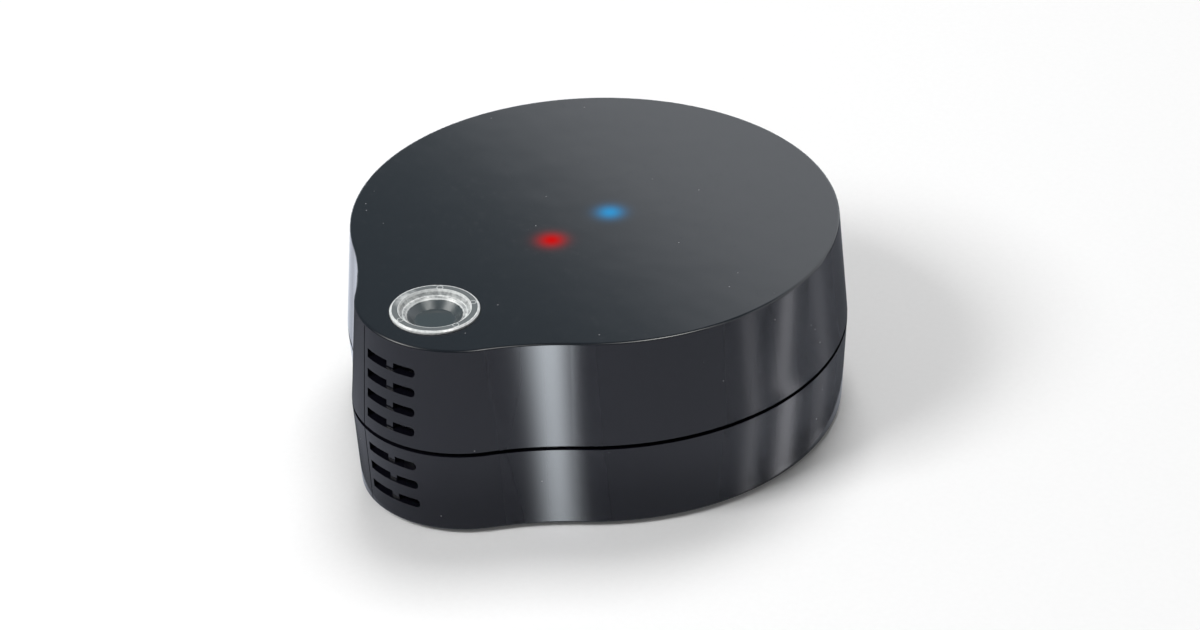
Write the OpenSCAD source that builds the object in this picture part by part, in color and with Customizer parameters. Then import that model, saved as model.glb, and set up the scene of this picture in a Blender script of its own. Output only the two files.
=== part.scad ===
/* [Case] */
// Radius of the large round part of the case
body_r = 45; // [43:0.5:52]
// Radius of the small round nose
nose_r = 20; // [18:0.5:24]
// Distance from the centre of the large circle to the centre of the nose
nose_reach = 35; // [33:0.1:42]
// Radius of the hollow curve at the waist, between the two circles
waist_r = 55; // [25:1:80]
// Height of the closed case, without its feet
case_h = 36.2; // [33:0.1:50]
// Height of the lower shell
split_h = 15.7; // [14.5:0.1:18]
// Height of the dark groove between the two shells
reveal = 0.8; // [0.4:0.1:1.2]
// How far the upper wall leans in at the top
draft_top = 1.5; // [0.5:0.1:2.5]
// How far the lower wall leans in at the bottom
draft_bottom = 0.9; // [0.3:0.1:1.5]
// Thickness of the case walls
wall = 2; // [1.6:0.1:2.4]
// Thickness of the roof of the upper shell
roof_t = 2.2; // [1.8:0.1:3]
// Thickness of the floor of the lower shell
floor_t = 2.2; // [1.8:0.1:2.8]
// Radius of the edge round the top face
edge_r = 0.4; // [0.3:0.1:1]

/* [Tongue between the shells] */
// Thickness of the tongue that stands up from the lower shell
tongue_t = 0.9; // [0.7:0.1:1.1]
// Height of the tongue above the groove
tongue_h = 2; // [1:0.1:3]
// Gap between the tongue and the upper shell
tongue_gap = 0.1; // [0.05:0.05:0.2]

/* [Window] */
// Radius of the clear window's flange
window_r = 7.8; // [7.4:0.1:9]
// Distance of the window's centre behind the front of the nose
window_back = 13.2; // [12:0.1:15]
// How far the flange stands above the top face
window_rise = 0.5; // [0.2:0.1:0.8]
// Depth of the dish, from the flange down to its floor
dish_depth = 2.4; // [1.8:0.1:2.6]
// Radius of the flat floor of the dish
dish_floor_r = 3.6; // [3:0.1:4.2]

/* [Vents] */
// Length of one vent slot
vent_w = 11; // [8:0.5:13]
// Height of one vent slot
vent_h = 1.7; // [1:0.1:2]
// Number of slots in the upper shell
vent_upper_count = 4; // [1:1:4]
// Number of slots in the lower shell
vent_lower_count = 3; // [1:1:3]
// Distance between slots in the upper shell
vent_upper_pitch = 3.83; // [3:0.01:4]
// Distance between slots in the lower shell
vent_lower_pitch = 3.95; // [3:0.01:4]
// Height of the lowest upper slot above the groove
vent_upper_first = 3.1; // [2:0.1:3.5]
// Height of the lowest lower slot above the case's bottom
vent_lower_first = 4.7; // [3.5:0.1:5]

/* [Lights] */
// Place of the red light, measured from the body's centre towards the rear
red_y = -11.6; // [-14:0.1:-10]
// Place of the blue light, measured from the body's centre towards the rear
blue_y = 2.2; // [0:0.1:4]
// Sideways place of the blue light
blue_x = 1.7; // [-2:0.1:2]
// Radius of a light pipe
pipe_r = 2; // [1.5:0.1:2.2]
// Thickness of plastic left over a light, thin enough to glow
light_skin = 0.8; // [0.5:0.1:1]

/* [Boards] */
// Thickness of the main circuit board
board_t = 1.6; // [1:0.1:2]
// Height of the posts that carry the main board
post_h = 3.4; // [3:0.1:4]
// How far the board's edge lies inside the widest outline of the case
board_inset = 4; // [3.6:0.1:5]

/* [Feet and screws] */
// Distance of the case screws inside the widest round of the case
screw_inset = 10; // [9:0.5:12]
// Direction of the rear screws, from the sideways axis
rear_screw_angle = 40; // [36:1:48]
// Direction of the front screws, from the sideways axis
front_screw_angle = -25; // [-30:1:-20]
// Radius of a rubber foot
foot_r = 4.5; // [3.6:0.1:5]
// Thickness of a rubber foot
foot_t = 1.5; // [1.2:0.1:2]
// How far the feet stand out under the case
foot_proud = 0.8; // [0.5:0.1:1]
// Radius of a case screw's shank
screw_r = 1.3; // [1:0.1:1.5]
// Length of a case screw under its head
screw_l = 11; // [9:0.5:12]

/* [Reset button] */
// Sideways place of the reset button on the rear wall
button_x = -13; // [-15:0.5:-12]
// Radius of the reset button
button_r = 1.5; // [1.2:0.1:1.6]
// Travel of the reset button
button_travel = 0.4; // [0.2:0.1:0.6]

/* [Hidden] */
$fn = 96;
arc_steps = 5;
// How far the waist's arcs reach into the round ends
waist_cross = 0.02;
// Overrun of every cut past the face it leaves
over = 0.5;
// Gap of a screw's shank in its hole, where the thread bites
thread_gap = 0.02;
// Gap that lets a piece drop into place beside another
fit_gap = 0.15;

// Heights, from the resting plane up
case_z0 = foot_proud;
split_z = case_z0 + split_h;
cover_z0 = split_z + reveal;
case_top = case_z0 + case_h;
floor_z = case_z0 + floor_t;
roof_z = case_top - roof_t;
board_z0 = floor_z + post_h;
board_z1 = board_z0 + board_t;

// Plan of the outline: a large circle, a nose circle and a hollow arc on each side
body_y = (nose_reach + nose_r - body_r) / 2;
nose_y = body_y - nose_reach;
front_y = nose_y - nose_r;
rear_y = body_y + body_r;
body_to_waist = body_r + waist_r;
nose_to_waist = nose_r + waist_r;
waist_back = (body_to_waist * body_to_waist - nose_to_waist * nose_to_waist
    + nose_reach * nose_reach) / (2 * nose_reach);
waist_x = sqrt(body_to_waist * body_to_waist - waist_back * waist_back);
waist_y = body_y - waist_back;

// Window
window_y = front_y + window_back;
window_top = case_top + window_rise;
flange_t = 1;
flange_bevel = 0.25;
rim_w = 1.5;
dish_step_w = 0.5;
dish_step_depth = 0.9;
dish_floor_t = 0.9;
skirt_t = 1;
skirt_r = window_r - 1.2 * flange_t;
hook_r = skirt_r + 0.35 * skirt_t;
hook_h = 1;
hook_notch_w = 1.6;
window_gap = 0.12;

// Light filter and the holder of the emitters under the window
filter_t = 0.8;
filter_r = skirt_r - skirt_t - fit_gap;
filter_z0 = window_top - dish_depth - dish_floor_t - filter_t;
holder_r = 6.4;
holder_wall = 1.2;
holder_plate_t = 5.6;
holder_foot_r = 6.7;
holder_foot_t = 1.4;
holder_top = filter_z0;
holder_plate_z = holder_top - holder_plate_t;
emitter_count = 4;
emitter_r = 1.5;
emitter_gap = 0.06;
emitter_flange_r = 1.9;
emitter_ring_r = holder_r - holder_wall - emitter_flange_r - emitter_gap;
emitter_flange_t = 0.8;
emitter_headroom = 0.4;
lead_r = 0.25;
lead_pitch = 2.54;
receiver_w = 2.5;
receiver_d = 2.1;
receiver_dome_r = 0.9;

// Lights
pipe_gap = 0.3;
pipe_collar_r = 2.9;
pipe_collar_t = 0.9;
baffle_wall = 1.7;
baffle_web_t = 1.6;
baffle_headroom = 0.2;
baffle_foot_w = 13;
baffle_foot_t = 1.2;
baffle_r = pipe_r + pipe_gap + baffle_wall;
well_r = pipe_r + 2 * pipe_gap;
well_top = case_top - light_skin;
led_w = 3;
led_d = 2;
led_t = 0.6;
led_lens_r = 0.8;
led_lens_t = 0.3;
led_air = 0.2;
light_spots = [[0, body_y + red_y], [blue_x, body_y + blue_y]];
light_apart = norm(light_spots[1] - light_spots[0]);

// Shallow seat in the underside for a rating label, left bare
label_w = 36;
label_d = 22;
label_corner = 2;
label_depth = 0.3;

// Vents and the upright rib behind them
rib_w = 1.5;
rib_recess = 0.5;
rib_depth = 0.7;

// Case screws, their columns below and their bosses above
web_t = 3;
head_r = 2.5;
head_t = 1.8;
head_gap = 0.4;
drive_w = 0.6;
drive_depth_share = 0.6;
column_r = 4.2;
boss_drop = 4;
boss_z = split_z - boss_drop;
boss_r = 3.4;
pilot_spare = 1;
gusset_t = 1.2;
gusset_drop = 4;
gusset_end = body_r - draft_top - wall / 4;
foot_gap = 0.2;
foot_bevel = 0.4;
screw_reach = body_r - screw_inset;
screw_turns = [rear_screw_angle, 180 - rear_screw_angle, front_screw_angle,
    180 - front_screw_angle];

// Screws and posts of the main board
post_r = 3;
board_screw_r = 1;
board_screw_l = 4.4;
board_head_r = 2;
board_head_t = 1.3;
board_hole_gap = 0.15;
front_post_back = 8.1;
rear_post_inset = 11;
rear_post_angle = 57;
rear_post_reach = body_r - rear_post_inset;
rear_post_x = rear_post_reach * cos(rear_post_angle);
rear_post_y = body_y + rear_post_reach * sin(rear_post_angle);
board_screw_spots = [[0, nose_y + front_post_back], [rear_post_x, rear_post_y],
    [-rear_post_x, rear_post_y]];
column_gap = 0.6;

// Radius of the main board's large round, which places what stands on the board
board_r = body_r - board_inset;
nose_board_r = nose_r - board_inset;

// Wireless module, lying along the left side of the board
wifi_w = 24;
wifi_d = 16;
wifi_t = 0.8;
wifi_place_share = [-0.634, 0.03];
wifi_x = board_r * wifi_place_share[0];
wifi_y = body_y + board_r * wifi_place_share[1];
shield_w = 15;
shield_d = 14;
shield_h = 2.2;
shield_wall = 0.3;
shield_setback = 1;
antenna_w = 5;
antenna_line = 0.6;
antenna_t = 0.1;
antenna_runs = 7;
antenna_margin = 0.8;

// Chips and small pieces, placed from the body's centre as shares of the board's radius
controller_w = 9;
controller_t = 1.4;
controller_place_share = [0.415, -0.146];
controller_rise = 0.15;
lead_w = 0.35;
lead_t = 0.25;
lead_out = 1;
leads_a_side = 8;
memory_w = 5;
memory_d = 4;
memory_t = 1.5;
memory_place_share = [0.415, 0.146];
crystal_w = 5;
crystal_d = 3.2;
crystal_t = 1;
crystal_place_share = [0.707, -0.073];
regulator_w = 6.5;
regulator_d = 3.5;
regulator_t = 1.6;
regulator_tab = 1.4;
regulator_place_share = [0.293, 0.537];
inductor_w = 6;
inductor_t = 3;
inductor_core_r = 2.4;
inductor_base_t = 0.8;
inductor_place_share = [0.44, 0.35];
big_cap_r = 3.15;
big_cap_h = 7.7;
big_cap_groove = 0.35;
big_cap_base_t = 0.8;
big_cap_place_share = [-0.15, 0.732];
big_cap_pitch = 8;
transistor_w = 2.9;
transistor_d = 1.3;
transistor_t = 1;
transistor_leg_w = 0.4;
transistor_leg_out = 0.55;
transistor_leg_t = 0.15;
transistor_side_share = 0.69;
transistor_back = -1;
transistor_pitch = 5;
transistor_count = 4;
chip_l = 1.6;
chip_w = 0.8;
chip_t = 0.45;
chip_cap_t = 0.8;
chip_end = 0.3;
chip_end_rise = 0.04;
chip_pitch = 2.2;
resistor_count = 8;
resistor_place_share = [-0.585, -0.537];
chip_cap_count = 6;
chip_cap_place_share = [-0.12, 0.3];

// Power inlet at the rear
usb_w = 7.5;
usb_d = 5.6;
usb_h = 2.6;
usb_sheet = 0.25;
usb_set_in = 1.4;
usb_gap = 0.25;
usb_corner = 0.6;
plug_well_w = 11.6;
plug_well_h = 7.6;
plug_well_corner = 1.6;
usb_core_d = 1.4;
usb_tongue_w = 3.7;
usb_tongue_t = 0.6;
usb_tongue_short = 0.6;
usb_tab_w = 0.8;
usb_tab_d = 1.3;
usb_contact_count = 5;
usb_contact_w = 0.3;
usb_contact_t = 0.1;
usb_contact_pitch = 0.65;
usb_mouth_y = rear_y - usb_set_in;
usb_back_y = usb_mouth_y - usb_d;

// Climate sensor on its own upright board behind the vents
sensor_board_w = 10;
sensor_board_t = 1;
sensor_board_h = 12;
sensor_edge_gap = 0.1;
sensor_w = 5;
sensor_h = 5;
sensor_t = 1.2;
sensor_mouth_r = 0.9;
sensor_mouth_depth = 0.4;
sensor_rise = 4.5;
pin_w = 0.4;
pin_pitch = 2.54;
pin_side_x = 2.2;
pin_h = 1.6;
sensor_back_y = nose_y - sqrt(pow(nose_board_r, 2) - pow(sensor_board_w / 2, 2))
    + sensor_edge_gap + sensor_board_t;

// Reset button, its guide in the rear wall and the switch that it presses
button_gap = 0.08;
guide_r = 3;
guide_l = 1.4;
collar_r = 2;
collar_t = 0.8;
collar_gap = 0.15;
stem_r = 1.1;
stem_l = 1;
button_well_r = 2.9;
button_well_set = 0.6;
button_proud = 0.7;
plunger_r = 1.1;
plunger_out = 1.2;
plunger_in = 1;
plunger_gap = 0.05;
switch_w = 6;
switch_d = 3.4;
switch_h = 4.3;
switch_plate_t = 0.3;
button_wall_y = body_y + sqrt(pow(body_r - wall, 2) - pow(button_x, 2));
guide_y = button_wall_y - guide_l;
collar_y1 = guide_y - collar_gap;
collar_y0 = collar_y1 - collar_t;
plunger_tip_y = collar_y0 - stem_l;
switch_front_y = plunger_tip_y - plunger_out;
button_z = board_z1 + switch_h / 2;
button_well_y = button_wall_y + button_well_set;

// How far the outer wall leans in at a height, in each shell
function low_lean(z) = draft_bottom * (split_z - z) / split_h;
function high_lean(z) = draft_top * (z - cover_z0) / (case_top - cover_z0);

// Points of an arc about a centre, from one angle to another
function arc(centre, r, from, to) = [for (i = [0:arc_steps])
    let (a = from + (to - from) * i / arc_steps) centre + r * [cos(a), sin(a)]];

// Outer side of the upper shell: pairs of height and inset, with the rounded top edge
function top_outer() = concat([[cover_z0, 0]],
    [for (p = arc([0, 0], edge_r, 0, 90))
        let (z = case_top - edge_r + p[1]) [z, high_lean(z) + edge_r - p[0]]]);

// Hollow of the upper shell, with the wider rebate that takes the tongue
function top_inner() = let (rebate_z = cover_z0 + tongue_h + tongue_gap)
    let (rebate_in = wall - tongue_t - tongue_gap)
    [[cover_z0 - over, rebate_in], [rebate_z, rebate_in], [rebate_z, wall + high_lean(rebate_z)],
        [roof_z, wall + high_lean(roof_z)]];

// Outer side of the lower shell, with the rounded bottom edge and the tongue
function bottom_outer() = concat([for (p = arc([0, 0], edge_r, -90, 0))
        let (z = case_z0 + edge_r + p[1]) [z, low_lean(z) + edge_r - p[0]]],
    [[split_z, 0], [split_z, wall - tongue_t], [cover_z0 + tongue_h, wall - tongue_t]]);

// Hollow of the lower shell
function bottom_inner() = [[floor_z, wall + low_lean(floor_z)], [split_z, wall],
    [cover_z0 + tongue_h + over, wall]];

// One round end of the outline, turned about its centre
module outline_end(r, y, profile) {
    translate([0, y, 0])
        rotate_extrude()
            polygon(concat([[0, profile[0][0]]], [for (p = profile) [r - p[1], p[0]]],
                [[0, profile[len(profile) - 1][0]]]));
}

// A solid on the case's outline: each pair of the profile gives a height and an inset.
// The large circle and the nose are round ends. The part between them is a prism, from
// which a turned solid on each side takes the hollow of the waist. That hollow is wider by
// a hair than one that just touches the ends, so that the surfaces cross.
module outline_solid(profile) {
    low = profile[0][0];
    high = profile[len(profile) - 1][0];
    low_in = profile[0][1];
    high_in = profile[len(profile) - 1][1];
    r = waist_r + waist_cross;
    outline_end(body_r, body_y, profile);
    outline_end(nose_r, nose_y, profile);
    difference() {
        translate([0, 0, low])
            linear_extrude(high - low)
                polygon([[0, body_y], [waist_x, waist_y], [0, nose_y], [-waist_x, waist_y]]);
        for (side = [-1, 1])
            translate([side * waist_x, waist_y, 0])
                rotate_extrude()
                    polygon(concat([[0, low - over], [r + low_in, low - over]],
                        [for (p = profile) [r + p[1], p[0]]],
                        [[r + high_in, high + over], [0, high + over]]));
    }
}

// A plate on the case's outline, of one inset all the way up
module outline_plate(inset, z, t) {
    outline_solid([[z, inset], [z + t, inset]]);
}

// A round bar along the Y axis, from one place to another
module y_bar(r, x, y0, y1, z) {
    translate([x, y1, z])
        rotate([90, 0, 0])
            cylinder(r = r, h = y1 - y0);
}

// A block centred in X and Y, standing on a height
module block(x, y, z, w, d, h) {
    translate([x - w / 2, y - d / 2, z])
        cube([w, d, h]);
}

// Copies its children to a place on the board, given as shares of the board's radius
module on_board(place_share) {
    translate([board_r * place_share[0], body_y + board_r * place_share[1], board_z1])
        children();
}

// A flat shape with round corners
module round_rect(w, h, r) {
    square([w - 2 * r, h], center = true);
    square([w, h - 2 * r], center = true);
    for (i = [-1, 1])
        for (j = [-1, 1])
            translate([i * (w / 2 - r), j * (h / 2 - r)])
                circle(r = r);
}

// A hole or block with round corners along the Y axis
module y_round_rect(w, h, r, y0, y1, z) {
    translate([0, y1, z])
        rotate([90, 0, 0])
            linear_extrude(y1 - y0)
                round_rect(w, h, r);
}

// A row of vent slots, cut straight back through the nose, square at one end and round at the other
module vent_cuts(count, first, pitch) {
    for (i = [0:count - 1]) {
        y_round_rect(vent_w, vent_h, vent_h / 2 - tongue_gap, front_y - over,
            front_y + 2 * wall, first + i * pitch);
        block(-vent_w / 4, front_y + wall - over / 2, first + i * pitch - vent_h / 2,
            vent_w / 2, 2 * wall + over, vent_h);
    }
}

// The upright rib that stands behind a row of slots and leans with the wall
module vent_rib(z0, z1, lean0, lean1) {
    rotate([90, 0, 90])
        translate([0, 0, -rib_w / 2])
            linear_extrude(rib_w)
                polygon([[front_y + lean0 + rib_recess, z0],
                    [front_y + lean0 + wall + rib_depth, z0],
                    [front_y + lean1 + wall + rib_depth, z1],
                    [front_y + lean1 + rib_recess, z1]]);
}

// Copies its children to the four places of the case screws
module at_case_screws() {
    for (turn = screw_turns)
        translate([0, body_y, 0])
            rotate(turn)
                translate([screw_reach, 0, 0])
                    children();
}

// Copies its children to the places of the board screws
module at_board_screws() {
    for (spot = board_screw_spots)
        translate([spot[0], spot[1], 0])
            children();
}

// The cross cut of a screw head, sunk from a height down
module drive_cut(r, t, z) {
    translate([0, 0, z - t * drive_depth_share])
        for (turn = [0, 90])
            rotate(turn)
                translate([-r / 2, -drive_w / 2, 0])
                    cube([r, drive_w, t]);
}

// Lower shell: floor, wall, tongue, screw columns, board posts and the button's guide
module bottom_shell() {
    first = case_z0 + vent_lower_first;
    last = first + (vent_lower_count - 1) * vent_lower_pitch;
    rib_z0 = first - vent_h;
    rib_z1 = last + vent_h;
    color([0.05, 0.05, 0.055]) {
        difference() {
            union() {
                difference() {
                    outline_solid(bottom_outer());
                    outline_solid(bottom_inner());
                }
                at_case_screws()
                    translate([0, 0, floor_z - over])
                        cylinder(r = column_r, h = boss_z - floor_z + over);
                at_board_screws()
                    translate([0, 0, floor_z - over])
                        cylinder(r = post_r, h = board_z0 - floor_z + over);
                intersection() {
                    y_bar(guide_r, button_x, guide_y, rear_y, button_z);
                    outline_solid(bottom_outer());
                }
            }
            vent_cuts(vent_lower_count, first, vent_lower_pitch);
            at_case_screws() {
                translate([0, 0, case_z0 - over])
                    cylinder(r = foot_r + foot_gap, h = foot_t - foot_proud + over);
                translate([0, 0, case_z0 - over])
                    cylinder(r = head_r + head_gap, h = boss_z - web_t - case_z0 + over);
                translate([0, 0, boss_z - web_t - over])
                    cylinder(r = screw_r + fit_gap, h = web_t + 2 * over);
            }
            at_board_screws()
                translate([0, 0, floor_z])
                    cylinder(r = board_screw_r + thread_gap, h = post_h + over);
            translate([0, body_y, case_z0 - over])
                linear_extrude(label_depth + over)
                    round_rect(label_w, label_d, label_corner);
            y_round_rect(usb_w + 2 * usb_gap, usb_h + 2 * usb_gap, usb_corner + usb_gap,
                rear_y - 2 * wall, rear_y, board_z1 + usb_h / 2);
            y_round_rect(plug_well_w, plug_well_h, plug_well_corner, usb_mouth_y,
                rear_y + over, board_z1 + usb_h / 2);
            y_bar(button_r + button_gap, button_x, guide_y - over, rear_y, button_z);
            y_bar(button_well_r, button_x, button_well_y, rear_y, button_z);
        }
        vent_rib(rib_z0, rib_z1, low_lean(rib_z0), low_lean(rib_z1));
    }
}

// Upper shell: roof, wall, window seat, light wells and the bosses that take the screws
module top_shell() {
    first = cover_z0 + vent_upper_first;
    last = first + (vent_upper_count - 1) * vent_upper_pitch;
    rib_z0 = cover_z0 + tongue_h + tongue_gap;
    rib_z1 = last + vent_h;
    color([0.05, 0.05, 0.055]) {
        difference() {
            union() {
                difference() {
                    outline_solid(top_outer());
                    outline_solid(top_inner());
                }
                at_case_screws() {
                    translate([0, 0, boss_z])
                        cylinder(r = boss_r, h = roof_z - boss_z + over);
                    translate([0, -gusset_t / 2, cover_z0 + gusset_drop])
                        cube([gusset_end - screw_reach, gusset_t,
                            roof_z - cover_z0 - gusset_drop + over]);
                }
            }
            vent_cuts(vent_upper_count, first, vent_upper_pitch);
            at_case_screws()
                translate([0, 0, boss_z - over])
                    cylinder(r = screw_r + thread_gap, h = screw_l - web_t + pilot_spare + over);
            translate([0, window_y, case_top - flange_t + window_rise])
                cylinder(r = window_r + window_gap, h = flange_t + over);
            translate([0, window_y, roof_z - over])
                cylinder(r = skirt_r + window_gap, h = roof_t + 2 * over);
            for (spot = light_spots)
                translate([spot[0], spot[1], roof_z - over])
                    cylinder(r = well_r, h = well_top - roof_z + over);
        }
        vent_rib(rib_z0, rib_z1, high_lean(rib_z0), high_lean(rib_z1));
    }
}

// Clear window: a flange, a stepped dish and a skirt with a snap ring
module ir_window() {
    rim_r = window_r - rim_w;
    step_r = rim_r - dish_step_w;
    step_z = window_top - dish_step_depth;
    floor_top = window_top - dish_depth;
    floor_low = floor_top - dish_floor_t;
    skirt_low = roof_z - fit_gap - hook_h;
    color([0.86, 0.9, 0.92, 0.35])
        translate([0, window_y, 0])
            difference() {
                rotate_extrude()
                    polygon([[0, floor_low], [skirt_r - skirt_t, floor_low],
                        [skirt_r - skirt_t, skirt_low], [skirt_r, skirt_low],
                        [hook_r, roof_z - fit_gap], [skirt_r, roof_z - fit_gap],
                        [skirt_r, window_top - flange_t], [window_r, window_top - flange_t],
                        [window_r, window_top - flange_bevel],
                        [window_r - flange_bevel, window_top], [rim_r, window_top],
                        [step_r, step_z], [step_r - dish_step_w, step_z],
                        [dish_floor_r, floor_top], [0, floor_top]]);
                for (turn = [0, 90])
                    rotate(turn)
                        block(0, 0, skirt_low - over, 2 * window_r, hook_notch_w,
                            hook_h + over);
            }
}

// Dark filter that lets only infrared through, under the dish
module ir_filter() {
    color([0.07, 0.05, 0.07])
        translate([0, window_y, filter_z0])
            cylinder(r = filter_r, h = filter_t);
}

// Holder that stands on the board and carries the emitters up to the window
module emitter_holder() {
    color([0.1, 0.1, 0.1])
        translate([0, window_y, 0])
            difference() {
                union() {
                    translate([0, 0, board_z1])
                        cylinder(r = holder_r, h = holder_top - board_z1);
                    translate([0, 0, board_z1])
                        cylinder(r = holder_foot_r, h = holder_foot_t);
                }
                translate([0, 0, board_z1 - over])
                    cylinder(r = holder_r - holder_wall, h = holder_plate_z - board_z1 + over);
                for (i = [0:emitter_count - 1])
                    rotate(i * 360 / emitter_count)
                        translate([emitter_ring_r, 0, holder_plate_z - over])
                            cylinder(r = emitter_r + emitter_gap, h = holder_plate_t + 2 * over);
                block(0, 0, holder_plate_z - over, receiver_w + 2 * emitter_gap,
                    receiver_d + 2 * emitter_gap, holder_plate_t + 2 * over);
            }
}

// One domed emitter with its flange under the holder's plate and two long leads
module emitter() {
    dome_z = holder_top - emitter_headroom - emitter_r;
    flange_z = holder_plate_z - emitter_flange_t;
    rotate_extrude()
        polygon(concat([[0, flange_z], [emitter_flange_r, flange_z],
            [emitter_flange_r, holder_plate_z], [emitter_r, holder_plate_z]],
            arc([0, dome_z], emitter_r, 0, 90)));
    for (side = [-1, 1])
        translate([0, side * lead_pitch / 2, board_z1])
            cylinder(r = lead_r, h = flange_z - board_z1 + lead_r);
}

// The ring of infrared emitters
module ir_emitters() {
    color([0.55, 0.55, 0.75])
        translate([0, window_y, 0])
            for (i = [0:emitter_count - 1])
                rotate(i * 360 / emitter_count)
                    translate([emitter_ring_r, 0, 0])
                        emitter();
}

// Receiver that learns codes from a hand-held remote, in the middle of the ring
module ir_receiver() {
    body_h = holder_plate_t - emitter_headroom - receiver_dome_r;
    color([0.12, 0.12, 0.14])
        translate([0, window_y, 0]) {
            block(0, 0, holder_plate_z, receiver_w, receiver_d, body_h);
            translate([0, 0, holder_plate_z + body_h])
                rotate_extrude()
                    polygon(concat([[0, -lead_r], [receiver_dome_r, -lead_r]],
                        arc([0, 0], receiver_dome_r, 0, 90)));
            for (i = [-1:1])
                translate([i * receiver_w / 3, 0, board_z1])
                    cylinder(r = lead_r, h = holder_plate_z - board_z1 + lead_r);
        }
}

// Black double tube that keeps the red and the blue light apart
module light_baffle() {
    top = roof_z - baffle_headroom;
    color([0.08, 0.08, 0.08])
        difference() {
            union() {
                for (spot = light_spots)
                    translate([spot[0], spot[1], board_z1])
                        cylinder(r = baffle_r, h = top - board_z1);
                translate([blue_x / 2, body_y + (red_y + blue_y) / 2, board_z1])
                    rotate([0, 0, -atan2(blue_x, blue_y - red_y)]) {
                        block(0, 0, 0, baffle_web_t, light_apart, top - board_z1);
                        block(0, 0, 0, baffle_foot_w, baffle_web_t, baffle_foot_t);
                    }
            }
            for (spot = light_spots)
                translate([spot[0], spot[1], 0]) {
                    translate([0, 0, board_z1 - over])
                        cylinder(r = pipe_r + pipe_gap, h = top - board_z1 + 2 * over);
                    translate([0, 0, top - pipe_collar_t - baffle_headroom / 2])
                        cylinder(r = pipe_collar_r + pipe_gap / 3, h = pipe_collar_t + over);
                }
        }
}

// Clear rod that carries one light from the board up to the thin spot in the roof
module light_pipe(spot) {
    foot = board_z1 + led_t + led_lens_t + led_air;
    collar_z = roof_z - baffle_headroom - pipe_collar_t - baffle_headroom / 2;
    translate([spot[0], spot[1], 0]) {
        translate([0, 0, foot])
            cylinder(r = pipe_r, h = well_top - led_air / 2 - foot);
        translate([0, 0, collar_z])
            cylinder(r = pipe_collar_r, h = pipe_collar_t);
    }
}

module red_light_pipe() {
    color([0.95, 0.8, 0.8, 0.5])
        light_pipe(light_spots[0]);
}

module blue_light_pipe() {
    color([0.8, 0.88, 0.97, 0.5])
        light_pipe(light_spots[1]);
}

// One light on the board, a flat package with a small round lens
module light(spot) {
    block(spot[0], spot[1], board_z1, led_w, led_d, led_t);
    translate([spot[0], spot[1], board_z1])
        cylinder(r = led_lens_r, h = led_t + led_lens_t);
}

module red_led() {
    color([0.8, 0.07, 0.07])
        light(light_spots[0]);
}

module blue_led() {
    color([0.2, 0.58, 0.82])
        light(light_spots[1]);
}

// Main circuit board on the case's outline, cut round the screw columns
module main_board() {
    color([0.05, 0.3, 0.15])
        difference() {
            outline_plate(board_inset, board_z0, board_t);
            at_case_screws()
                translate([0, 0, board_z0 - over])
                    cylinder(r = column_r + column_gap, h = board_t + 2 * over);
            at_board_screws()
                translate([0, 0, board_z0 - over])
                    cylinder(r = board_screw_r + board_hole_gap, h = board_t + 2 * over);
            translate([button_x - guide_r - column_gap, guide_y - column_gap, board_z0 - over])
                cube([2 * (guide_r + column_gap), rear_y, board_t + 2 * over]);
        }
}

// Screws that hold the main board on its posts
module board_screws() {
    color("silver")
        at_board_screws()
            difference() {
                union() {
                    translate([0, 0, board_z1 - board_screw_l])
                        cylinder(r = board_screw_r, h = board_screw_l + over);
                    translate([0, 0, board_z1])
                        cylinder(r = board_head_r, h = board_head_t);
                }
                drive_cut(2 * board_head_r * drive_depth_share, board_head_t,
                    board_z1 + board_head_t);
            }
}

// Screws that hold the two shells together, set deep in the columns from below
module case_screws() {
    seat_z = boss_z - web_t;
    color("silver")
        at_case_screws()
            difference() {
                union() {
                    translate([0, 0, seat_z - head_t])
                        cylinder(r = head_r, h = head_t);
                    translate([0, 0, seat_z - over])
                        cylinder(r = screw_r, h = screw_l + over);
                }
                mirror([0, 0, 1])
                    drive_cut(2 * head_r * drive_depth_share, head_t, head_t - seat_z);
            }
}

// Round rubber feet, glued in shallow seats over the screws
module rubber_feet() {
    color([0.15, 0.15, 0.15])
        at_case_screws()
            rotate_extrude()
                polygon([[0, 0], [foot_r - foot_bevel, 0], [foot_r, foot_bevel],
                    [foot_r, foot_t], [0, foot_t]]);
}

// Board of the wireless module
module wifi_board() {
    color([0.05, 0.12, 0.3])
        block(wifi_x, wifi_y, board_z1, wifi_w, wifi_d, wifi_t);
}

// Sheet metal lid over the wireless module's chips
module wifi_shield() {
    x = wifi_x + wifi_w / 2 - shield_setback - shield_w / 2;
    z = board_z1 + wifi_t;
    color([0.75, 0.76, 0.78])
        difference() {
            block(x, wifi_y, z, shield_w, shield_d, shield_h);
            block(x, wifi_y, z - over, shield_w - 2 * shield_wall,
                shield_d - 2 * shield_wall, shield_h - shield_wall + over);
        }
}

// Copper track that winds to and fro at the outer end of the module
module wifi_antenna() {
    span = wifi_d - 2 * antenna_margin - antenna_line;
    step = span / (antenna_runs - 1);
    x0 = wifi_x - wifi_w / 2 + antenna_margin;
    y0 = wifi_y - wifi_d / 2 + antenna_margin;
    color([0.8, 0.55, 0.25])
        translate([x0, y0, board_z1 + wifi_t]) {
            for (i = [0:antenna_runs - 1])
                translate([0, i * step, 0])
                    cube([antenna_w, antenna_line, antenna_t]);
            for (i = [0:antenna_runs - 2])
                translate([(i % 2) * (antenna_w - antenna_line), i * step, 0])
                    cube([antenna_line, step + antenna_line, antenna_t]);
        }
}

// Square controller chip
module microcontroller() {
    color([0.1, 0.1, 0.11])
        on_board(controller_place_share)
            block(0, 0, controller_rise, controller_w, controller_w, controller_t);
}

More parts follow.
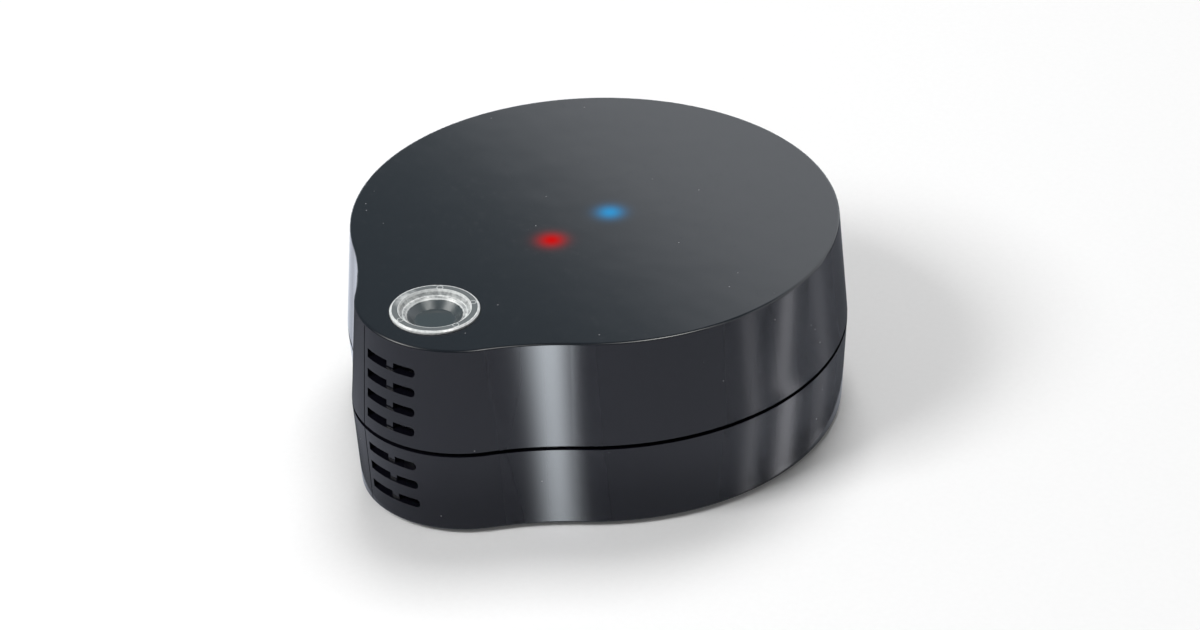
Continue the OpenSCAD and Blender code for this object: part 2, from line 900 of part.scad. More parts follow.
// Metal leads on the four sides of the controller chip
module chip_leads() {
    pitch = controller_w / (leads_a_side + 1);
    color("silver")
        on_board(controller_place_share)
            for (turn = [0:90:270])
                rotate(turn)
                    for (i = [1:leads_a_side])
                        translate([controller_w / 2, i * pitch - controller_w / 2 - lead_w / 2, 0])
                            union() {
                                cube([lead_out, lead_w, lead_t]);
                                cube([lead_t, lead_w, controller_t / 2 + controller_rise]);
                            }
}

// Memory chip that keeps the learnt codes
module memory_chip() {
    color([0.1, 0.1, 0.11])
        on_board(memory_place_share)
            block(0, 0, 0, memory_w, memory_d, memory_t);
}

// Crystal in a low metal can on a wider base
module crystal() {
    color([0.8, 0.8, 0.8])
        on_board(crystal_place_share) {
            block(0, 0, 0, crystal_w, crystal_d, crystal_t / 2);
            block(0, 0, 0, crystal_w - crystal_t, crystal_d - crystal_t / 2, crystal_t);
        }
}

// Voltage regulator with its cooling tab
module voltage_regulator() {
    color([0.1, 0.1, 0.11])
        on_board(regulator_place_share) {
            block(0, 0, 0, regulator_w, regulator_d, regulator_t);
            block(0, regulator_d / 2, 0, regulator_w / 2, 2 * regulator_tab, lead_t);
        }
}

// Coil of the power supply: a round core on a square base
module inductor() {
    color([0.25, 0.25, 0.27])
        on_board(inductor_place_share) {
            block(0, 0, 0, inductor_w, inductor_w, inductor_base_t);
            cylinder(r = inductor_core_r, h = inductor_t);
            block(0, 0, inductor_t - inductor_base_t, inductor_w, inductor_w, inductor_base_t);
        }
}

// Two upright capacitors, each a grooved can on a square base
module power_capacitors() {
    color([0.7, 0.71, 0.74])
        for (i = [0, 1])
            on_board(big_cap_place_share)
                translate([i * big_cap_pitch, 0, 0]) {
                    block(0, 0, 0, 2 * big_cap_r, 2 * big_cap_r, big_cap_base_t);
                    rotate_extrude()
                        polygon([[0, 0], [big_cap_r - big_cap_groove, 0],
                            [big_cap_r - big_cap_groove, 2 * big_cap_base_t],
                            [big_cap_r, 2 * big_cap_base_t + big_cap_groove],
                            [big_cap_r, big_cap_h - big_cap_groove],
                            [big_cap_r - big_cap_groove, big_cap_h], [0, big_cap_h]]);
                }
}

// Small transistors that drive the emitters, each with three legs
module driver_transistors() {
    y0 = nose_y + transistor_back;
    color([0.1, 0.1, 0.11])
        for (i = [0:transistor_count - 1])
            translate([(i % 2 == 0 ? -1 : 1) * nose_board_r * transistor_side_share,
                y0 + floor(i / 2) * transistor_pitch, board_z1]) {
                block(0, 0, 0, transistor_w, transistor_d, transistor_t);
                for (leg = [[-1, -1], [1, -1], [0, 1]])
                    block(leg[0] * transistor_w / 3, leg[1] * transistor_d / 2, 0,
                        transistor_leg_w, 2 * transistor_leg_out, transistor_leg_t);
            }
}

// One chip resistor or capacitor with its two metal ends
module chip(t) {
    block(0, 0, 0, chip_l - 2 * chip_end, chip_w, t);
    for (side = [-1, 1])
        block(side * (chip_l - chip_end) / 2, 0, 0, chip_end, chip_w, t + chip_end_rise);
}

// A row of chip resistors in front of the wireless module
module chip_resistors() {
    color([0.12, 0.12, 0.12])
        for (i = [0:resistor_count - 1])
            on_board(resistor_place_share)
                translate([i * chip_pitch, 0, 0])
                    rotate(90)
                        chip(chip_t);
}

// A row of chip capacitors beside the memory chip
module chip_capacitors() {
    color([0.6, 0.5, 0.38])
        for (i = [0:chip_cap_count - 1])
            on_board(chip_cap_place_share)
                translate([i * chip_pitch, 0, 0])
                    rotate(90)
                        chip(chip_cap_t);
}

// Sheet metal shell of the power socket, open to the rear, with a solder tab on each side
module usb_socket() {
    z = board_z1 + usb_h / 2;
    color("silver")
        difference() {
            union() {
                y_round_rect(usb_w, usb_h, usb_corner, usb_back_y, usb_mouth_y, z);
                for (side = [-1, 1])
                    block(side * usb_w / 2, usb_back_y + usb_tab_d, board_z1, 2 * usb_tab_w,
                        usb_tab_d, usb_sheet);
            }
            y_round_rect(usb_w - 2 * usb_sheet, usb_h - 2 * usb_sheet, usb_corner - usb_sheet,
                usb_back_y - over, usb_mouth_y + over, z);
        }
}

// Plastic core of the socket: a plug at the back and a thin tongue
module usb_core() {
    z = board_z1 + usb_h / 2;
    color([0.1, 0.1, 0.1]) {
        y_round_rect(usb_w - 2 * usb_sheet, usb_h - 2 * usb_sheet, usb_corner - usb_sheet,
            usb_back_y, usb_back_y + usb_core_d, z);
        block(0, (usb_back_y + usb_mouth_y - usb_tongue_short) / 2, z, usb_tongue_w,
            usb_d - usb_tongue_short, usb_tongue_t);
    }
}

// Gilt contacts on the tongue
module usb_contacts() {
    z = board_z1 + usb_h / 2 - usb_contact_t;
    y0 = usb_back_y + usb_core_d;
    y1 = usb_mouth_y - 2 * usb_tongue_short;
    color([0.85, 0.68, 0.3])
        for (i = [0:usb_contact_count - 1])
            block((i - (usb_contact_count - 1) / 2) * usb_contact_pitch, (y0 + y1) / 2, z,
                usb_contact_w, y1 - y0, usb_contact_t);
}

// Small upright board behind the vents
module sensor_board() {
    color([0.05, 0.3, 0.15])
        block(0, sensor_back_y - sensor_board_t / 2, board_z1, sensor_board_w, sensor_board_t,
            sensor_board_h);
}

// Temperature and humidity sensor on the front of the upright board
module climate_sensor() {
    face_y = sensor_back_y - sensor_board_t - sensor_t;
    z = board_z1 + sensor_rise;
    color([0.9, 0.9, 0.9])
        difference() {
            block(0, face_y + sensor_t / 2, z, sensor_w, sensor_t, sensor_h);
            y_bar(sensor_mouth_r, 0, face_y - over, face_y + sensor_mouth_depth,
                z + sensor_h / 2);
        }
}

// Pins that carry the upright board and join it to the main board, a pair on each side
module sensor_pins() {
    color("gold")
        for (side = [-1, 1])
            for (i = [0, 1])
                block(side * (pin_side_x + i * pin_pitch), sensor_back_y + pin_w / 2, board_z1,
                    pin_w, pin_w, pin_h);
}

// Push switch on the board, with a metal plate on its front
module reset_switch() {
    color([0.2, 0.2, 0.21])
        difference() {
            union() {
                block(button_x, switch_front_y - switch_d / 2, board_z1, switch_w, switch_d,
                    switch_h);
                block(button_x, switch_front_y, board_z1, switch_w - 2 * switch_plate_t,
                    2 * switch_plate_t, switch_h - switch_plate_t);
            }
            y_bar(plunger_r + plunger_gap, button_x,
                switch_front_y - plunger_in - button_travel - plunger_gap * 2,
                switch_front_y + over, button_z);
        }
}

// Plunger of the push switch
module switch_plunger() {
    color([0.6, 0.55, 0.4])
        y_bar(plunger_r, button_x, switch_front_y - plunger_in, plunger_tip_y, button_z);
}

// Button in the rear wall: a face, a shaft in the guide, a collar and a stem
module reset_button() {
    color([0.12, 0.12, 0.13]) {
        y_bar(button_r, button_x, collar_y1 - over, button_well_y + button_proud, button_z);
        y_bar(collar_r, button_x, collar_y0, collar_y1, button_z);
        y_bar(stem_r, button_x, plunger_tip_y, collar_y0 + over, button_z);
    }
}

bottom_shell();
top_shell();
ir_window();
ir_filter();
emitter_holder();
ir_emitters();
ir_receiver();
light_baffle();
red_light_pipe();
blue_light_pipe();
red_led();
blue_led();
main_board();
board_screws();
case_screws();
rubber_feet();
wifi_board();
wifi_shield();
wifi_antenna();
microcontroller();
chip_leads();
memory_chip();
crystal();
voltage_regulator();
inductor();
power_capacitors();
driver_transistors();
chip_resistors();
chip_capacitors();
usb_socket();
usb_core();
usb_contacts();
sensor_board();
climate_sensor();
sensor_pins();
reset_switch();
switch_plunger();
reset_button();
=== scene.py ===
# %% [markdown]
# # A smart infrared blaster, from its solids to its looks
#
# The hub is a low black case in the shape of a pear. It stands on four rubber feet, sends infrared light
# through a clear dish on its nose, and shows its state with a red and a blue light under its top face.
#
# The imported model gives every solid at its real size. This lesson adds what a photograph shows: gloss, glow,
# dust, moulding marks, and the light of a small studio. Blender's lengths are in metres, patterns are written
# in millimetres, and the object stands on the plane Z = 0 with its nose towards -Y.

# %% Load the solids
import functools
import math
import bpy
import numpy as np
from mathutils import Matrix, Vector


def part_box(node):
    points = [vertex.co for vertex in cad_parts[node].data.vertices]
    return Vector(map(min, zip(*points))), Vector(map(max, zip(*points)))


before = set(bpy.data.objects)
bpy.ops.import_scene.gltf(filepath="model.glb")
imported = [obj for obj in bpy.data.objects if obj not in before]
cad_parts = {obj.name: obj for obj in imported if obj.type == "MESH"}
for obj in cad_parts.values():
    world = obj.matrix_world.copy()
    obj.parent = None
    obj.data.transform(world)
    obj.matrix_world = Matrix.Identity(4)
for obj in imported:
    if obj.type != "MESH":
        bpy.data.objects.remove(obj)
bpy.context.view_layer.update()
MM = 0.001

# %% [markdown]
# ## The camera
# Small products are photographed from afar through a long lens, which keeps their shape true. A camera could
# be placed by eye, but here its angles, distance and lens were fitted, so that the outline, the seam, the
# bottom edge, the window and the two lights fall where the photograph has them. It looks down at 32 degrees
# from the front right.

# %% Camera
AZIMUTH, ELEVATION, ROLL = math.radians(41.72), math.radians(31.63), math.radians(-1.65)
DISTANCE, AIM = 725.32 * MM, Vector((0, 5, 20.8)) * MM
MOVE_RIGHT, MOVE_DOWN = 0.44 * MM, 4.17 * MM
FOCAL_LENGTH = 120.98

back = Vector((math.sin(AZIMUTH) * math.cos(ELEVATION), -math.cos(AZIMUTH) * math.cos(ELEVATION),
               math.sin(ELEVATION)))
right = Vector((math.cos(AZIMUTH), math.sin(AZIMUTH), 0))
eye = AIM + back * DISTANCE + right * MOVE_RIGHT - back.cross(right) * MOVE_DOWN
camera = bpy.data.objects.new("camera", bpy.data.cameras.new("camera"))
bpy.context.scene.collection.objects.link(camera)
camera.data.lens = FOCAL_LENGTH
camera.matrix_world = (Matrix.Translation(eye) @ back.to_track_quat("Z", "Y").to_matrix().to_4x4()
                       @ Matrix.Rotation(ROLL, 4, "Z"))
bpy.context.scene.camera = camera
bpy.context.scene.view_settings.view_transform = "Standard"
print("the eye stands at", [round(x, 3) for x in eye])

# %% [markdown]
# ## Arithmetic with nodes
# A material is a small program made of nodes. They could be added and linked one by one, but a formula is far
# easier to read. The class below wraps one output socket, so that `a * b + 1` makes the Math nodes for it.
# Every pattern is then a formula of the place on the piece.

# %% A socket that can be used in formulas
def by_maths(operation, turned=False):
    """A method that makes one Math node from a flow and other values, the flow last if turned."""
    def method(self, *others):
        values = (*others, self) if turned else (self, *others)
        return self.make("ShaderNodeMath", dict(enumerate(values)), operation=operation)
    return method


class Flow:
    """A number, vector or colour on its way through a node tree."""

    def __init__(self, tree, socket):
        self.tree, self.socket = tree, socket

    def make(self, kind, values, output=0, **settings):
        """Adds a node, sets it up, fills its inputs by number or name, and returns one of its outputs."""
        node = self.tree.nodes.new(kind)
        for name, value in settings.items():
            setattr(node, name, value)
        for name, value in values.items():
            if isinstance(value, Flow):
                self.tree.links.new(value.socket, node.inputs[name])
            else:
                node.inputs[name].default_value = value
        return Flow(self.tree, node.outputs[output])

    __add__ = by_maths("ADD")
    __radd__ = by_maths("ADD", turned=True)
    __sub__ = by_maths("SUBTRACT")
    __rsub__ = by_maths("SUBTRACT", turned=True)
    __mul__ = by_maths("MULTIPLY")
    __rmul__ = by_maths("MULTIPLY", turned=True)
    __truediv__ = by_maths("DIVIDE")
    __rtruediv__ = by_maths("DIVIDE", turned=True)
    __gt__ = by_maths("GREATER_THAN")
    __lt__ = by_maths("LESS_THAN")
    exp = by_maths("EXPONENT")
    root = by_maths("SQRT")
    size = by_maths("ABSOLUTE")
    most = by_maths("MAXIMUM")

    def step(self, low, high, to_low=0.0, to_high=1.0):
        """A smooth change from one value to another while this one goes from low to high."""
        return self.make("ShaderNodeMapRange", {0: self, 1: low, 2: high, 3: to_low, 4: to_high},
                         interpolation_type="SMOOTHSTEP")

    def parts(self):
        """The three parts of a vector."""
        x = self.make("ShaderNodeSeparateXYZ", {0: self})
        return [x] + [Flow(self.tree, x.socket.node.outputs[i]) for i in (1, 2)]

    def noise(self, per_mm, detail=2.0):
        """Cloudy noise with so many clouds in a millimetre."""
        return self.make("ShaderNodeTexNoise", {"Vector": self, "Scale": per_mm, "Detail": detail})

    def cells(self, per_mm, output=0, **settings):
        """Cells like those of a crystal: the distance to a cell's middle, its colour or its edge."""
        return self.make("ShaderNodeTexVoronoi", {"Vector": self, "Scale": per_mm}, output, **settings)

    def colour(self, low, high):
        """Mixes two colours by this number. A colour is three numbers or a flow."""
        low, high = [c if isinstance(c, Flow) else (*c, 1) for c in (low, high)]
        return self.make("ShaderNodeMix", {0: self, 6: low, 7: high}, 2, data_type="RGBA")

    def bump(self, height_mm):
        """A normal from this height, which is a number from 0 to 1 times height_mm."""
        return self.make("ShaderNodeBump", {"Height": self, "Distance": height_mm * MM, "Strength": 1.0})


print("ready to write formulas with nodes")

# %% [markdown]
# ## Spots, rings and places
# Most marks on this hub are spots and rings. A painted mask could draw them, but a formula stays sharp at any
# size: a ring is a band of the distance from its middle, and a soft spot is a bell curve of that distance.
# Where they go is read from the box of the piece that they belong to, so they stay on it if it moves.

# %% Distance, bell curve, band and the places of pieces
def far(here, there):
    """The square of the distance between two places, from the differences of their coordinates."""
    return sum((a - b) * (a - b) for a, b in zip(here, there))


def bell(square, width):
    """A bell curve of a distance, given as its square: 1 at the middle and 1/e at the width."""
    return (square / (-width * width)).exp()


def band(flow, low, high, soft=0.08):
    """1 where the value lies between low and high, with soft ends."""
    return flow.step(low - soft, low + soft) * flow.step(high - soft, high + soft, 1.0, 0.0)


def largest(flows):
    """The largest of several flows."""
    return functools.reduce(Flow.most, flows)


def middle(node):
    """The middle of a node's box in mm."""
    low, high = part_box(node)
    return [(a + b) / 2 / MM for a, b in zip(low, high)]


def top_of(node):
    """The height of a node's highest point in mm."""
    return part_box(node)[1][2] / MM


print("the red light is centred on", [round(x, 1) for x in middle("red_led")])

# %% [markdown]
# ## One way to start each material
# `begin` makes a material and gives the position in millimetres of the point being shaded, and a function
# that links formulas to the shader. What varies over the surface is linked. What doesn't vary is set on the
# shader itself, because the export keeps such a value only there.

# %% Start a material
def begin(name, roughness=0.5, **constants):
    """Makes a material: (position in mm, function that links formulas to inputs of its shader)."""
    material = bpy.data.materials.new(name)
    material.use_nodes = True
    tree = material.node_tree
    shader = tree.nodes["Principled BSDF"]
    shader.inputs["Roughness"].default_value = roughness
    for key, value in constants.items():
        shader.inputs[key.replace("_", " ")].default_value = value
    place = Flow(tree, tree.nodes.new("ShaderNodeTexCoord").outputs["Object"])
    place_mm = place.make("ShaderNodeVectorMath", {0: place, "Scale": 1 / MM}, operation="SCALE")

    def link(**formulas):
        for key, flow in formulas.items():
            tree.links.new(flow.socket, shader.inputs[key.replace("_", " ")])

    return place_mm, link


def wear(name, node):
    """Gives a piece of the frame a material."""
    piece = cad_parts[node]
    piece.data.materials.clear()
    piece.data.materials.append(bpy.data.materials[name])


print("materials can be made")

# %% [markdown]
# ## Layers on the case
# The two lights shine through the thin plastic of the roof, each as a round spot that fades outwards. Real
# lamps under the roof would need plastic that lets light through, which is slow and grainy to render. A
# matt layer that glows by itself is laid over the black instead, and a bell curve says how much of it shows.

# %% Glowing and dark layers
RED_GLOW, BLUE_GLOW, GLOW_WIDTH = (0.6, 0.006, 0.006), (0.037, 0.29, 0.61), 2.2
LAYER_ROUGHNESS = 0.8


def over(skin, share, base, light=(0, 0, 0)):
    """Lays a matt layer over a shader: share says how much of it shows, light how it glows by itself."""
    layer = skin.make("ShaderNodeBsdfPrincipled", {
        "Base Color": (*base, 1), "Roughness": LAYER_ROUGHNESS, "Specular IOR Level": 0.0,
        "Emission Color": (*light, 1), "Emission Strength": 1.0})
    return skin.make("ShaderNodeMixShader", {0: share, 1: skin, 2: layer})


def shine_through(skin, x, y, roof):
    """Lays the red and the blue light over the roof, each centred on its own small lamp."""
    for node, tint in (("red_led", RED_GLOW), ("blue_led", BLUE_GLOW)):
        skin = over(skin, bell(far((x, y), middle(node)), GLOW_WIDTH) * roof, (0, 0, 0), tint)
    return skin


print("each light spreads over", 2 * GLOW_WIDTH, "mm")

# %% [markdown]
# ## The black case
# The case is glossy black plastic, straight from a polished mould. A flat black would look like a drawing, so
# its gloss is broken as on the real one: by faint waves from moulding, by fine scuffs, and by a few specks of
# dust. Where two parts of the mould met, a fine groove runs down the nose beside the slots. Its dark look is
# painted shade: a matt black strip without gloss is laid over it.

# %% Case plastic
CASE_BLACK, DUST_GREY, GROOVE_SHADE_BLACK = (0.003, 0.003, 0.006), (0.35, 0.35, 0.36), (0.002, 0.002, 0.003)
CASE_ROUGHNESS, CASE_GLOSS = 0.09, 0.4
SPECKS_PER_MM, SPECK_EDGES, DUSTY_CELLS = 0.55, (0.05, 0.09), 0.93
SCUFFS_PER_MM, SCUFF_EDGES, DUST_PER_MM = 0.9, (0.55, 0.8), 6.0
WAVES_PER_MM, WAVE_HEIGHT, GRAIN_PER_MM, GRAIN_SHARE = 0.12, 0.01, 2.2, 0.02
MOULD_LINE_X, MOULD_LINE_EDGES, MOULD_LINE_SHADE_SHARE, MOULD_LINE_DEPTH = -6.6, (0.07, 0.16), 0.95, 4.0
NOSE_FRONT_Y = -45.0
ROOF_FROM_Z = top_of("top_shell") - 0.5


def case_plastic(name, lit):
    """Black plastic with waves, scuffs, dust, a mould line with painted shade, and the two lights if it is
    lit.
    """
    p, link = begin(name, CASE_ROUGHNESS, Specular_IOR_Level=CASE_GLOSS)
    x, y, z = p.parts()
    some_cells = p.cells(SPECKS_PER_MM, "Color").parts()[0] > DUSTY_CELLS
    speck = p.cells(SPECKS_PER_MM).step(*SPECK_EDGES, 1.0, 0.0) * some_cells
    scuff = p.noise(SCUFFS_PER_MM, 4.0).step(*SCUFF_EDGES)
    dust = p.noise(DUST_PER_MM, 3.0)
    side = z < ROOF_FROM_Z
    mould_line = (x - MOULD_LINE_X).size().step(*MOULD_LINE_EDGES, 1.0, 0.0) * (y < NOSE_FRONT_Y) * side
    waves = p.noise(WAVES_PER_MM, 1.0) + p.noise(GRAIN_PER_MM, 2.0) * GRAIN_SHARE
    link(Base_Color=(speck * 0.5 + dust * 0.008).colour(CASE_BLACK, DUST_GREY),
         Roughness=scuff * 0.04 + dust * 0.03 + CASE_ROUGHNESS + speck * 0.4,
         Normal=(waves - mould_line * MOULD_LINE_DEPTH).bump(WAVE_HEIGHT))
    skin = Flow(p.tree, p.tree.nodes["Principled BSDF"].outputs[0])
    # painted shade: a matt black strip without gloss darkens the mould line's groove
    skin = over(skin, mould_line * MOULD_LINE_SHADE_SHARE, GROOVE_SHADE_BLACK)
    if lit:
        skin = shine_through(skin, x, y, 1.0 - side)
    p.tree.links.new(skin.socket, p.tree.nodes["Material Output"].inputs["Surface"])


case_plastic("upper_case", True)
case_plastic("lower_case", False)
wear("upper_case", "top_shell")
wear("lower_case", "bottom_shell")
print("the case is black and glossy, with a mould line at x =", MOULD_LINE_X)

# %% [markdown]
# ## The clear window
# The window is one piece of clear acrylic with a stepped dish. Clear plastic looks dark where one sees
# through it and bright where its edges gather light. Rays that pass through so thin a piece come out noisy,
# so the light on it is painted into its colour by formulas: painted highlights in rings on the edges of its
# steps and in four small rings on the flange, a streaky painted sheen, and a pale cloudy patch towards -X.

# %% Window
CLEAR_DARK, CLEAR_BRIGHT, ACRYLIC_IOR = (0.045, 0.055, 0.06), (0.93, 0.95, 0.94), 1.49
WINDOW_MIDDLE = middle("ir_window")
WINDOW_R = (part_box("ir_window")[1][0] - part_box("ir_window")[0][0]) / 2 / MM
RIM_WIDTH, WAVER = 0.42, 0.12
FLANGE_EDGE, UPPER_STEP, LOWER_STEP = (6.05, 6.4), (5.45, 5.65), (4.85, 5.1)
FLANGE_SHEEN, STEP_SHEEN = (6.5, 7.3), (5.1, 6.3)
LOWER_STEP_SHARE, FLANGE_SHEEN_SHARE = 0.8, 0.12
DISH_SLOPE, DISH_SLOPE_SOFT, DISH_SLOPE_ROUGHNESS = (3.3, 5.0), 0.4, 0.25
# painted highlights: four small bright rings on the flange
GLINT_TURNS, GLINT_PLACE_R = (55, 125, 253, 345), 6.75
GLINT_RING, GLINT_SHARE = (0.45, 0.6), 0.7
PALE_PATCH_PLACE, PALE_PATCH_WIDTH = (-5.4, -0.6), 2.646
PALE_PATCH_FROM_R, PALE_PATCH_SHARE = 4.9, 0.75


def painted_glint_rings(place):
    """Painted highlights: small bright rings on the flange, each a band of the distance from its own middle.
    """
    turns = [math.radians(turn) for turn in GLINT_TURNS]
    spots = [(GLINT_PLACE_R * math.cos(turn), GLINT_PLACE_R * math.sin(turn)) for turn in turns]
    return largest([band(far(place, spot).root(), *GLINT_RING) for spot in spots])


def window_plastic():
    """Clear acrylic with painted light: highlights on its edges and steps, a streaky sheen, and a pale patch.
    """
    p, link = begin("clear_window", 0.03, Transmission_Weight=0.15, IOR=ACRYLIC_IOR)
    place = [a - b for a, b in zip(p.parts()[:2], WINDOW_MIDDLE)]
    streak = p.noise(1.4, 3.0)
    r = far(place, (0.0, 0.0)).root() + (streak - 0.5) * WAVER
    edges = largest([band(r, WINDOW_R - RIM_WIDTH, WINDOW_R + RIM_WIDTH), band(r, *FLANGE_EDGE),
                     band(r, *UPPER_STEP), band(r, *LOWER_STEP) * LOWER_STEP_SHARE])
    # painted light: a streaky sheen over the steps and the flange
    painted_sheen = largest([band(r, *STEP_SHEEN) * streak.step(0.3, 0.7, 0.3, 0.7),
                    band(r, *FLANGE_SHEEN) * FLANGE_SHEEN_SHARE])
    # a pale streaky patch towards -X of the window's middle, shown only outside the inner dish
    pale_patch = bell(far(place, PALE_PATCH_PLACE), PALE_PATCH_WIDTH) * streak.step(0.3, 0.6, 0.5, 1.0) * PALE_PATCH_SHARE
    # painted highlights and sheen, together with the pale patch, make the bright part of the base colour
    light = largest([edges * streak.step(0.2, 0.7, 0.7, 1.0), painted_glint_rings(place) * GLINT_SHARE,
                     pale_patch * (r > PALE_PATCH_FROM_R), painted_sheen])
    slope = band(r, *DISH_SLOPE, DISH_SLOPE_SOFT)
    link(Base_Color=light.colour(CLEAR_DARK, CLEAR_BRIGHT),
         Roughness=streak.step(0.3, 0.9, 0.03, 0.09) + slope * DISH_SLOPE_ROUGHNESS,
         Normal=p.noise(0.9, 2.0).bump(0.02))


window_plastic()
wear("clear_window", "ir_window")
print("the window's flange has a radius of", round(WINDOW_R, 2), "mm")

# %% [markdown]
# ## The dark filter and the light pipes
# The filter under the dish looks black to the eye but passes infrared, so a dark, nearly smooth plastic with
# a hint of violet is enough. The two light pipes are clear plastic rods, and here the rays do go through.

# %% Filter and light pipes
PIPE_TINTS = {"red": ((0.9, 0.6, 0.6), (0.95, 0.7, 0.7)), "blue": ((0.6, 0.75, 0.92), (0.7, 0.82, 0.95))}

p, link = begin("dark_filter", 0.12)
link(Base_Color=p.noise(0.8).colour((0.012, 0.008, 0.012), (0.02, 0.013, 0.018)),
     Roughness=p.noise(3.0).step(0.2, 0.9, 0.08, 0.2))
wear("dark_filter", "ir_filter")

for tint, (low, high) in PIPE_TINTS.items():
    p, link = begin(tint + "_pipe", 0.05, Transmission_Weight=0.9, IOR=ACRYLIC_IOR)
    link(Base_Color=p.noise(0.6).colour(low, high), Roughness=p.noise(2.0).step(0.3, 0.8, 0.04, 0.15))
    wear(tint + "_pipe", tint + "_light_pipe")
print("pipes:", list(PIPE_TINTS))

# %% [markdown]
# ## What is inside
# The inner pieces show through the slots and when the shells are taken away. Each could have a material built
# by hand, but most are plain ones that differ only in colour, mottling, gloss and grain. So one function
# makes them from a short list, and each still varies a little over its surface, as real parts do.

# %% Moulded and cast materials
BLACK, DARK = (0.006, 0.006, 0.006), (0.016, 0.016, 0.017)
SMOOTHER, ROUGHER, GLOSS_FINER, GRAIN_FINER = 0.06, 0.08, 2.0, 5.0


def mottled(name, nodes, low, high, per_mm, roughness, grain_mm, **constants):
    """A surface whose colour, gloss and height all vary a little, worn by one or more nodes."""
    p, link = begin(name, roughness, **constants)
    gloss = p.noise(per_mm * GLOSS_FINER)
    link(Base_Color=p.noise(per_mm, 3.0).colour(low, high),
         Roughness=gloss.step(0.25, 0.75, roughness - SMOOTHER, roughness + ROUGHER),
         Normal=p.noise(per_mm * GRAIN_FINER, 2.0).bump(grain_mm))
    for node in nodes:
        wear(name, node)


mottled("chip_epoxy", ["microcontroller", "memory_chip", "voltage_regulator", "driver_transistors"],
        DARK, (0.032, 0.032, 0.034), per_mm=3.0, roughness=0.55, grain_mm=0.015)
mottled("black_nylon", ["emitter_holder", "light_baffle"],
        BLACK, DARK, per_mm=1.2, roughness=0.5, grain_mm=0.02)
mottled("socket_plastic", ["usb_core"], BLACK, DARK, per_mm=2.0, roughness=0.4, grain_mm=0.01)
mottled("button_plastic", ["reset_button"],
        (0.02, 0.02, 0.022), (0.035, 0.035, 0.037), per_mm=1.0, roughness=0.35, grain_mm=0.01)
mottled("plunger_plastic", ["switch_plunger"],
        (0.5, 0.46, 0.38), (0.62, 0.58, 0.5), per_mm=1.5, roughness=0.4, grain_mm=0.01)
mottled("rubber", ["rubber_feet"], (0.018, 0.018, 0.019), (0.04, 0.04, 0.04),
        per_mm=2.5, roughness=0.8, grain_mm=0.04, Specular_IOR_Level=0.25)
mottled("tin", ["chip_leads", "sensor_pins"], (0.62, 0.62, 0.6), (0.78, 0.78, 0.76),
        per_mm=4.0, roughness=0.3, grain_mm=0.01, Metallic=1.0)
mottled("gold", ["usb_contacts"], (0.75, 0.5, 0.18), (0.9, 0.64, 0.26),
        per_mm=4.0, roughness=0.25, grain_mm=0.006, Metallic=1.0)
mottled("ferrite", ["inductor"],
        (0.03, 0.029, 0.028), (0.07, 0.066, 0.062), per_mm=2.0, roughness=0.6, grain_mm=0.03)
mottled("tan_ceramic", ["chip_capacitors"],
        (0.42, 0.27, 0.13), (0.52, 0.35, 0.18), per_mm=3.0, roughness=0.45, grain_mm=0.01)
mottled("sensor_ceramic", ["climate_sensor"],
        (0.7, 0.7, 0.68), (0.8, 0.8, 0.78), per_mm=2.0, roughness=0.45, grain_mm=0.01)
print("materials so far:", len(bpy.data.materials))

# %% [markdown]
# ## Drawn metal
# Metal that was drawn, rolled or turned has fine lines along one direction. A picture of scratches could be
# laid over it, but noise that is stretched along the lines does the same on every side of a piece.

# %% Drawn metal
STEEL, NICKEL = (0.66, 0.65, 0.63), (0.74, 0.72, 0.68)
LINE_DARKNESS = 0.82


def drawn_metal(name, nodes, colour, along, per_mm=3.0, roughness=0.28):
    """Metal with fine lines: noise that changes more slowly along the lines, by the smallest of along."""
    p, link = begin(name, roughness, Metallic=1.0)
    x, y, z = p.parts()
    stretched = x.make("ShaderNodeCombineXYZ", {0: x * along[0], 1: y * along[1], 2: z * along[2]})
    lines = stretched.noise(per_mm, 3.0)
    link(Base_Color=lines.colour([c * LINE_DARKNESS for c in colour], colour),
         Roughness=lines.step(0.2, 0.8, roughness - 0.08, roughness + 0.12), Normal=lines.bump(0.01))
    for node in nodes:
        wear(name, node)


drawn_metal("shield_metal", ["wifi_shield", "crystal"], NICKEL, along=(0.2, 1, 1))
drawn_metal("socket_metal", ["usb_socket"], STEEL, along=(1, 0.15, 1))
drawn_metal("screw_metal", ["board_screws", "case_screws"],
            STEEL, along=(1, 1, 0.2), per_mm=5.0, roughness=0.32)
drawn_metal("can_metal", ["power_capacitors"],
            (0.7, 0.7, 0.72), along=(1, 1, 0.1), per_mm=2.0, roughness=0.35)
drawn_metal("aerial_copper", ["wifi_antenna"],
            (0.8, 0.45, 0.25), along=(0.3, 1, 1), per_mm=4.0, roughness=0.3)
print("materials so far:", len(bpy.data.materials))

# %% [markdown]
# ## Circuit boards
# A board has a green or black mask over copper tracks, and round pads of gold. The tracks of a real board
# would be a drawing of their own. Little of the boards is ever seen, so the edges of a cell pattern stand in
# for the tracks, and the middles of some cells for the pads.

# %% Circuit boards
GREEN_MASK, GREEN_TRACK = (0.004, 0.05, 0.022), (0.008, 0.1, 0.045)
MODULE_MASK, MODULE_TRACK = (0.01, 0.012, 0.016), (0.03, 0.035, 0.05)
WIDE_PER_MM, WIDE_EDGES, FINE_PER_MM, FINE_EDGES = 0.5, (0.05, 0.08), 1.6, (0.06, 0.1)
PAD_GOLD, PAD_CELLS, PAD_EDGES = (0.8, 0.58, 0.25), 0.6, (0.2, 0.22)


def tracks_of(p):
    """Wide tracks everywhere and fine ones in patches, each along the edges of cells."""
    wide = p.cells(WIDE_PER_MM, feature="DISTANCE_TO_EDGE").step(*WIDE_EDGES, 1.0, 0.0)
    fine = p.cells(FINE_PER_MM, feature="DISTANCE_TO_EDGE").step(*FINE_EDGES, 1.0, 0.0)
    return wide.most(p.noise(0.25, 1.0).step(0.45, 0.55) * fine)


